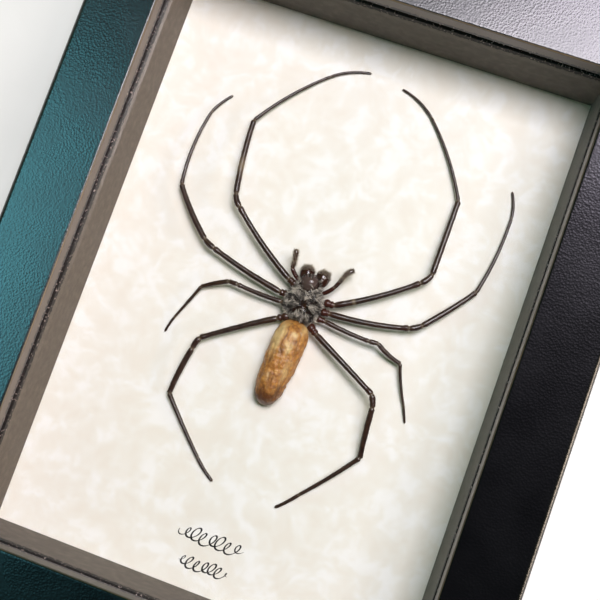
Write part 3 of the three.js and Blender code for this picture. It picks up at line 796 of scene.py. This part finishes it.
class SPECIMEN_OT_legs(bpy.types.Operator):
    """Eight jointed legs with waists at the joints and short bristles."""

    bl_idname = "specimen.legs"
    bl_label = "Legs"

    def execute(self, context):
        settings = context.scene.specimen_spider
        shell = brown_shell("dark brown shell", settings.shell, "#4a1d14", 0.3)
        bristle = hair_finish("dark bristle", "#1a1310", "#6b5a4a")
        random = np.random.default_rng(11)
        sides = 24
        for name, (pair, hip, headings, bends, heights) in LEG_POSES.items():
            centres, radius, part, to_joint = limb_path(
                hip, LEG_LENGTHS[pair], headings, bends, heights, LEG_RADII, 0.3)
            centres = soften(centres, 3)
            radius = radius * LEG_STOUTNESS[pair] * np.where(part > 3, FOOT_STOUTNESS[pair], 1.0)
            points = loft(centres, radius, radius, sides)
            normals = surface_normals(points)
            dent = 0.045 * noise(points, 1.4, 3) + 0.025 * noise(points, 0.6, 4)
            points = points + normals * (dent * radius[:, None])[..., None]
            warmth = 0.7 if "right" in name else 0.3
            thigh_rust = np.where(part == 1, 0.5 * warmth * np.exp(-to_joint / 5), 0.1)
            rust = np.where(part == 0, warmth, thigh_rust)
            hip_pale = 0.1 * np.exp(-((to_joint / 0.2) ** 2))
            pale = np.where(part > 0, 0.32 * np.exp(-((to_joint / 0.4) ** 2)), hip_pale)
            for leg, index, distance, half_length, strength in PALE_STRETCHES:
                if leg == name:
                    rings = np.flatnonzero(part == index)
                    run = np.linspace(0, LEG_LENGTHS[pair][index], len(rings))
                    pale[rings] += strength * np.exp(-(((run - distance) / half_length) ** 2))
            tone = np.repeat(np.clip(pale, 0, 0.85), sides)
            make_piece(name + "_shell", on_card(points), tube_faces(*points.shape[:2]), shell,
                       (name,), {"tone": tone, "rust": np.repeat(rust, sides)}, sharp=180)
            count = settings.leg_hairs
            rows = random.integers(12, len(centres) - 2, count)
            columns = random.integers(0, sides, count)
            along = ring_frames(centres)[2]
            roots, direction = scatter_hairs(points, normals, rows, columns, along[rows] * 1.2, random, 0.2)
            lengths = random.uniform(0.35, 0.8, count) * (0.5 + 0.5 * radius[rows])
            hair_coat(name + "_bristles", roots, direction, np.zeros_like(roots), lengths,
                      np.full(count, 0.022), random.uniform(0, 1, count), bristle)
        return {"FINISHED"}


def carapace_points(rings, sides):
    """Oval rings along the body, whose half width, underside and crown follow smooth curves through
    CARAPACE_RINGS. Furrows that run out from the fovea to the legs, pits, and the groove behind the head are
    pressed into the top along its normal."""
    along = np.linspace(CARAPACE_RINGS[0, 0], CARAPACE_RINGS[-1, 0], rings)
    half, underside, crown = (
        smooth_through(CARAPACE_RINGS[:, 0], CARAPACE_RINGS[:, k], along) for k in (1, 2, 3))
    centres = np.column_stack([np.zeros(rings), along, (underside + crown) / 2])
    points = loft(centres, half, (crown - underside) / 2, sides, upright=True)
    normals = surface_normals(points)
    away = points[..., :2] - np.array(FOVEA)
    distance = np.linalg.norm(away, axis=-1)
    bearing = np.degrees(np.abs(np.arctan2(away[..., 0], away[..., 1])))
    gap = np.min(np.abs(bearing[..., None] - np.array(FURROW_DIRECTIONS)), axis=-1)
    width = np.radians(gap) * distance
    fade = np.clip(distance / 1.2, 0, 1) * np.clip((5.6 - distance) / 1.5, 0, 1)
    furrow = np.exp(-((width / 0.45) ** 2)) * fade
    pit = np.clip(spots(points, HAIR_PITS, 0.6) + np.exp(-((distance / 0.8) ** 2)), 0, 1)
    upper = np.clip((normals[..., 2] - 0.1) / 0.4, 0, 1)
    to_head = np.linalg.norm(points[..., :2] - np.array(HEAD_CENTRE), axis=-1)
    neck = np.exp(-(((to_head - HEAD_RADIUS - 0.5) / 0.45) ** 2))
    neck = neck * np.clip((8.5 - points[..., 1]) / 1.5, 0, 1)
    behind_head = np.clip((to_head - HEAD_RADIUS) / 0.6, 0, 1)
    depth = upper * (behind_head * (0.4 * furrow + 0.5 * pit + 0.1 * noise(points, 0.9, 21)) + 0.5 * neck)
    return points - normals * depth[..., None], normals, np.clip(upper * (0.5 * furrow + pit), 0, 1)


def spots(points, places, size):
    """Sum of round humps of that size at those places, seen from above."""
    away = points[..., None, :2] - np.array(places)
    return np.exp(-np.sum(away**2, axis=-1) / size**2).sum(axis=-1)


def dome_points(centre, radius, rings, sides):
    """A small ball: ring i is a circle of radius r sin(i) at height r cos(i)."""
    polar = np.linspace(0.02, np.pi - 0.02, rings)
    centres = np.column_stack([np.zeros(rings), np.zeros(rings), radius * np.cos(polar)])
    angle = np.linspace(0, -2 * np.pi, sides, endpoint=False)
    ring = np.stack([np.cos(angle), np.sin(angle), np.zeros(sides)], axis=-1)
    return centres[:, None] + ring[None] * (radius * np.sin(polar))[:, None, None] + np.array(centre)


class SPECIMEN_OT_carapace(bpy.types.Operator):
    """Furrowed carapace with a shiny head, eyes and a mat of silvery hair."""

    bl_idname = "specimen.carapace"
    bl_label = "Carapace"

    def execute(self, context):
        settings = context.scene.specimen_spider
        shell = brown_shell("purplish head shell", "#1c1413", "#54433f", 0.15, 0.12)
        rings, sides = 130, 120
        points, normals, pits = carapace_points(rings, sides)
        to_head = np.linalg.norm(points[..., :2] - np.array(HEAD_CENTRE), axis=-1)
        rust = np.clip((HEAD_RADIUS + 0.4 - to_head) / 0.6, 0, 1)
        make_piece("carapace_shell", on_card(points), tube_faces(rings, sides), shell,
                   ("carapace",), {"tone": np.zeros(rings * sides), "rust": rust.ravel()}, sharp=180)
        self.add_eyes()
        self.add_hair(settings, points, normals, pits, to_head)
        return {"FINISHED"}

    def add_eyes(self):
        """Four pairs of glossy beads round the front of the head."""
        bead = brown_shell("glossy dark eye", "#0b0a0a", "#0b0a0a", 0.15)
        for index, (right, along, height, radius) in enumerate(EYES):
            for side, label in ((-1, "left"), (1, "right")):
                eye = dome_points((HEAD_CENTRE[0] + side * right, along, height), radius, *EYE_GRID)
                make_piece(f"eye_{label}_{index + 1}", on_card(eye), tube_faces(*EYE_GRID), bead,
                           sharp=180)

    def add_hair(self, settings, points, normals, pits, to_head):
        """Silver hairs swept out and back in clumps, with bright tufts, dark pits and an almost bare head. They
        are drawn thicker than real ones so that they show."""
        silver = hair_finish("silvery hair", "#1c1512", "#fff3e4")
        random = np.random.default_rng(5)
        tries = settings.carapace_hairs * 4
        rows = random.integers(2, len(points) - 2, tries)
        columns = random.integers(0, points.shape[1], tries)
        bald = np.clip((HEAD_RADIUS + 0.7 - to_head[rows, columns]) / 0.4, 0, 0.97)
        front = np.clip((points[rows, columns, 1] - 6.5) / 1.5, 0, 0.8)
        chance = (np.clip(normals[rows, columns, 2] + 0.4, 0, 1) * (1 - 0.9 * pits[rows, columns])
                  * (1 - bald) * (1 - front))
        keep = np.flatnonzero(random.uniform(0, 1, tries) < chance)[:settings.carapace_hairs]
        rows, columns = rows[keep], columns[keep]
        spot = points[rows, columns]
        away = np.zeros((len(keep), 3))
        away[:, :2] = spot[:, :2] - np.array(FOVEA)
        clump = noise(spot, 0.7, 33)
        swirl = noise(spot, 1.4, 34)
        turn = np.stack([clump, -swirl, 0 * clump], axis=-1)
        sweep = unit(away) * 0.6 + np.array((0, -0.45, 0)) + 1.3 * turn
        roots, direction = scatter_hairs(points, normals * 0.4, rows, columns, sweep, random, 0.2)
        lengths = settings.hair_length / MM * random.uniform(0.6, 1.2, len(keep))
        tuft = np.clip(spots(spot, HAIR_TUFTS, 0.8), 0, 1)
        tones = random.normal(0.27, 0.34, len(keep)) + 0.8 * clump + 0.7 * tuft - 0.6 * pits[rows, columns]
        bends = np.tile(np.array((0.0, 0.0, -0.3)), (len(keep), 1))
        radii = random.uniform(0.04, 0.1, len(keep))
        hair_coat("carapace_hair", roots, direction, bends, lengths, radii, np.clip(tones, 0, 1), silver)


def abdomen_points(rings, sides):
    """Oval rings behind each other whose half width follows a smooth curve through ABDOMEN_WIDTHS, lying on
    the belly. Long folds, cross wrinkles and small dents are noise pressed along the surface normal."""
    share = (1 - np.cos(np.linspace(0, np.pi, rings))) / 2
    along = ABDOMEN_WIDTHS[-1, 0] * share
    half = smooth_through(ABDOMEN_WIDTHS[:, 0], ABDOMEN_WIDTHS[:, 1], along)
    lift = 0.15 + ABDOMEN_FLATNESS * (0.35 * ABDOMEN_WIDTHS[:, 1].max() + 0.65 * half)
    centres = np.column_stack([
        ABDOMEN_FRONT[0] - math.sin(ABDOMEN_LEAN) * along,
        ABDOMEN_FRONT[1] - math.cos(ABDOMEN_LEAN) * along,
        lift,
    ])
    points = loft(centres, half, half * ABDOMEN_FLATNESS, sides, upright=True)
    normals = surface_normals(points)
    stretched = points * np.array((1.0, 0.22, 1.0))
    squeezed = points * np.array((0.5, 1.0, 0.5))
    folds = 1 - np.abs(noise(stretched, 1.3, 7))
    cross = noise(squeezed, 0.9, 8)
    depth = (0.26 * folds**6 + 0.08 * cross - 0.32 * noise(points, 3.4, 9) + 0.1 * noise(points, 0.9, 14)
             + 0.06 * noise(points, 0.5, 10))
    fade = np.sin(np.pi * share) ** 0.4
    return points - normals * (depth * fade[:, None])[..., None], folds, along, half


def marks(along, across, places):
    """Sum of oval smudges at those places on the abdomen."""
    total = np.zeros(across.shape)
    for behind, right, half_length, half_width, strength in places:
        away = ((along - behind) / half_length) ** 2 + ((across - right) / half_width) ** 2
        total += strength * np.exp(-away)
    return total


class SPECIMEN_OT_abdomen(bpy.types.Operator):
    """Long wrinkled abdomen with straw streaks, reddish folds and a darker tail."""

    bl_idname = "specimen.abdomen"
    bl_label = "Abdomen"

    def execute(self, context):
        rings, sides = 240, 150
        points, folds, along, half = abdomen_points(rings, sides)
        behind = np.repeat(along[:, None], sides, axis=1)
        across = half[:, None] * np.cos(np.linspace(0, 2 * np.pi, sides, endpoint=False))
        wander = np.stack([noise(points, 1.6, 15), noise(points, 1.6, 16)]) * 0.7
        placed = (behind + wander[0], across + wander[1])
        tail = np.clip((behind - 12) / 14, 0, 1) ** 1.5
        mottle = noise(points, 0.9, 12) + 0.7 * noise(points, 0.45, 17)
        grain = noise(points * np.array((1.0, 0.3, 1.0)), 0.5, 18)
        fold = 0.35 * folds**6 + 0.5 * tail + marks(*placed, FOLD_MARKS) + 0.22 * mottle + 0.32 * grain
        fold = np.clip(fold, 0, 0.92)
        straw = np.clip(1.8 * marks(*placed, STRAW_MARKS) + 0.2 * grain, 0, 0.9) * (1 - 0.6 * fold)
        skin = tan_skin(context.scene.specimen_spider)
        make_piece("abdomen_skin", on_card(points), tube_faces(rings, sides), skin, ("abdomen",),
                   {"fold": fold, "straw": straw}, sharp=180)
        return {"FINISHED"}


class SPECIMEN_OT_mouth(bpy.types.Operator):
    """Two stout jaws with hairy ends, and two feelers with woolly tips."""

    bl_idname = "specimen.mouth"
    bl_label = "Jaws and feelers"

    def execute(self, context):
        shell = brown_shell("reddish brown shell", "#1e0f0d", "#3f1a15", 0.17, 0.12)
        wool = hair_finish("greyish brown hair", "#66594a", "#d3c6b0")
        random = np.random.default_rng(23)
        sides, rings = 40, 50
        for side, label in ((-1, "left"), (1, "right")):
            base = np.array((HEAD_OFFSET + side * JAW_BASE[0], *JAW_BASE[1:]))
            tip = np.array((HEAD_OFFSET + side * JAW_TIP[0], *JAW_TIP[1:]))
            share = np.linspace(0, 1, rings)
            radius = smooth_through(np.linspace(0, 1, len(JAW_RADII)), JAW_RADII, share)
            centres = base + (tip - base) * share[:, None]
            points = loft(centres, radius * JAW_BREADTH, radius, sides)
            normals = surface_normals(points)
            points = points + normals * (0.08 * noise(points, 0.9, 41))[..., None]
            make_piece(f"chelicera_{label}_shell", on_card(points), tube_faces(rings, sides), shell,
                       (f"chelicera_{label}",),
                       {"tone": np.zeros(rings * sides), "rust": np.full(rings * sides, 0.4)}, sharp=180)
            count = JAW_HAIRS
            rows = random.integers(30, rings - 1, count)
            columns = random.integers(0, sides, count)
            lean = unit(tip - base) * 0.7
            roots, direction = scatter_hairs(points, normals, rows, columns, lean, random)
            hair_coat(f"chelicera_{label}_hair", roots, direction, np.zeros_like(roots),
                      random.uniform(0.4, 1.0, count) * (rows / rings), np.full(count, 0.035),
                      random.uniform(0.25, 1, count), wool)
        for name, (hip, lengths, headings, bends, heights) in PALP_POSES.items():
            centres, radius, part, to_joint = limb_path(
                hip, lengths, headings, bends, heights, PALP_RADII, 0.15)
            centres = soften(centres, 4)
            points = loft(centres, radius, radius, PALP_SIDES)
            normals = surface_normals(points)
            points = points + normals * (0.04 * noise(points, 0.7, 51))[..., None]
            pale = np.repeat(0.4 * np.exp(-((to_joint / 0.2) ** 2)), PALP_SIDES)
            rust = np.repeat(np.where(part == 0, 0.8, 0.45), PALP_SIDES)
            make_piece(f"{name}_shell", on_card(points), tube_faces(*points.shape[:2]), shell,
                       (name,), {"tone": pale, "rust": rust}, sharp=180)
            tip_start = np.flatnonzero(part == 2)[0]
            count = PALP_HAIRS
            share = random.uniform(0, 1, count) ** 0.8
            rows = (tip_start - 12 + (len(centres) - tip_start + 10) * share).astype(int)
            columns = random.integers(0, PALP_SIDES, count)
            along = ring_frames(centres)[2]
            roots, direction = scatter_hairs(points, normals, rows, columns, along[rows], random)
            hair_coat(f"{name}_hair", roots, direction, np.zeros_like(roots), random.uniform(0.3, 0.8, count),
                      np.full(count, 0.036), random.uniform(0.4, 1, count), wool)
        return {"FINISHED"}


# Stage


class SPECIMEN_OT_stage(bpy.types.Operator):
    """Pale floor, soft studio light and the camera."""

    bl_idname = "specimen.stage"
    bl_label = "Stage"

    def execute(self, context):
        settings = context.scene.specimen_stage
        scene = context.scene
        self.add_floor(scene)
        self.add_camera(scene, settings)
        powers = (settings.key_power, settings.side_power, settings.rim_power, settings.fill_power,
                  settings.bounce_power)
        lights = {
            name: self.add_panel(scene, name, *panel, power)
            for (name, panel), power in zip(LIGHT_PANELS.items(), powers)
        }
        for name in ("key_light", "side_light"):
            self.flag(lights[name], ("glass_pane", "painted_rail_right", "painted_rail_bottom"), "EXCLUDE")
        self.flag(lights["rim_light"], (*SPACERS, "painted_rail_top", "painted_rail_right"), "INCLUDE")
        filled = (*SPACERS, "painted_rail_left", "painted_rail_top", "painted_rail_bottom")
        self.flag(lights["cool_fill"], filled, "INCLUDE")
        lights["low_bounce"].rotation_euler = (0, BOUNCE_TILT, 0)
        self.add_room(scene, settings)
        scene.view_settings.view_transform = "Standard"
        return {"FINISHED"}

    def add_floor(self, scene):
        """A flat square under the frame, one metre and a half to each side."""
        half, drop = 1.5, 0.05 * MM
        points = np.array(
            ((-half, -half, -drop), (half, -half, -drop), (half, half, -drop), (-half, half, -drop)))
        mesh = bpy.data.meshes.new("floor")
        mesh.from_pydata(points.tolist(), [], [(0, 1, 2, 3)])
        material, tree, shader, place = start_material("pale studio floor")
        mottle = add(tree, "ShaderNodeTexNoise", {"Vector": place, "Scale": per_mm(40), "Detail": 3.0})
        tint = add(tree, "ShaderNodeValToRGB", {"Fac": mottle.outputs[0]},
                   stops=((0.3, "#eeeeec"), (0.7, "#f4f4f2")))
        set_sockets(tree, shader, {"Base Color": tint.outputs[0], "Roughness": 0.9})
        mesh.materials.append(material)
        floor = bpy.data.objects.new("floor", mesh)
        scene.collection.objects.link(floor)

    def flag(self, light, names, state):
        """Keeps a light on the named pieces or off them, as flags and filters do in a studio."""
        pieces = bpy.data.collections.new(light.name + "_flagged")
        for name in names:
            pieces.objects.link(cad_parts.get(name) or bpy.data.objects[name])
        for item in pieces.collection_objects:
            item.light_linking.link_state = state
        light.light_linking.receiver_collection = pieces

    def add_room(self, scene, settings):
        """Light from all round: pale near the floor, greenish and lopsided to the upper left above that, and
        dim overhead, where the glass would mirror it."""
        world = bpy.data.worlds.new("studio")
        world.use_nodes = True
        tree = world.node_tree
        direction = add(tree, "ShaderNodeTexCoord").outputs["Generated"]
        upward = add(tree, "ShaderNodeSeparateXYZ", {0: direction}).outputs["Z"]
        shade = add(tree, "ShaderNodeValToRGB", {"Fac": upward},
                    stops=((0.15, "#eceee9"), (0.4, "#98d670"), (0.72, "#98ec78"), (0.9, "#66707c"),
                           (1.0, "#46526c")))
        low = add(tree, "ShaderNodeMapRange", {
            "Value": upward, "From Min": 0.1, "From Max": 0.38,
            "To Min": settings.horizon_light, "To Max": settings.room_light,
        })
        lopsided = add(tree, "ShaderNodeVectorMath", {0: direction, 1: (-0.7, 0.65, 0.0)},
                       operation="DOT_PRODUCT")
        strength = add(tree, "ShaderNodeMath",
                       {0: lopsided.outputs["Value"], 1: settings.room_light, 2: low.outputs[0]},
                       operation="MULTIPLY_ADD")
        background = tree.nodes["Background"]
        tree.links.new(shade.outputs[0], background.inputs["Color"])
        tree.links.new(strength.outputs[0], background.inputs["Strength"])
        scene.world = world

    def add_camera(self, scene, settings):
        """A camera over the frame, aimed at the card and rolled about its line of sight."""
        data = bpy.data.cameras.new("camera")
        data.sensor_width = 36
        data.lens = settings.lens
        data.clip_start = 0.01
        camera = bpy.data.objects.new("camera", data)
        place, aim = Vector(settings.camera_place), Vector(settings.camera_aim)
        look = (aim - place).to_track_quat("-Z", "Y").to_matrix()
        turned = look @ Matrix.Rotation(settings.camera_roll, 3, "Z")
        camera.matrix_world = Matrix.Translation(place) @ turned.to_4x4()
        scene.collection.objects.link(camera)
        scene.camera = camera

    def add_panel(self, scene, name, place, size, tint, power):
        """A soft rectangular light that faces straight down."""
        data = bpy.data.lights.new(name, "AREA")
        data.shape = "RECTANGLE"
        data.size, data.size_y = size
        data.energy = power
        data.color = colour(tint)[:3]
        light = bpy.data.objects.new(name, data)
        light.location = place
        scene.collection.objects.link(light)
        return light


class SPECIMEN_PT_panel(bpy.types.Panel):
    """Lists the steps that dress the part."""

    bl_idname = "SPECIMEN_PT_panel"
    bl_label = "Framed spider"
    bl_space_type = "VIEW_3D"
    bl_region_type = "UI"
    bl_category = "Specimen"

    def draw(self, context):
        for operator in OPERATORS:
            self.layout.operator(operator.bl_idname)
        for key in GROUPS:
            group = getattr(context.scene, key)
            box = self.layout.box()
            for name in group.__annotations__:
                box.prop(group, name)


OPERATORS = (
    SPECIMEN_OT_rails, SPECIMEN_OT_layers, SPECIMEN_OT_flourish, SPECIMEN_OT_abdomen, SPECIMEN_OT_carapace,
    SPECIMEN_OT_mouth, SPECIMEN_OT_legs, SPECIMEN_OT_stage,
)
GROUPS = {
    "specimen_frame": FrameSettings,
    "specimen_spider": SpiderSettings,
    "specimen_stage": StageSettings,
}


def register():
    for name, group in GROUPS.items():
        bpy.utils.register_class(group)
        setattr(bpy.types.Scene, name, bpy.props.PointerProperty(type=group))
    for item in (*OPERATORS, SPECIMEN_PT_panel):
        bpy.utils.register_class(item)


def unregister():
    for item in (SPECIMEN_PT_panel, *reversed(OPERATORS)):
        bpy.utils.unregister_class(item)
    for name, group in GROUPS.items():
        delattr(bpy.types.Scene, name)
        bpy.utils.unregister_class(group)


def main():
    register()
    for operator in OPERATORS:
        group, name = operator.bl_idname.split(".")
        getattr(getattr(bpy.ops, group), name)()


if __name__ == "__main__":
    main()
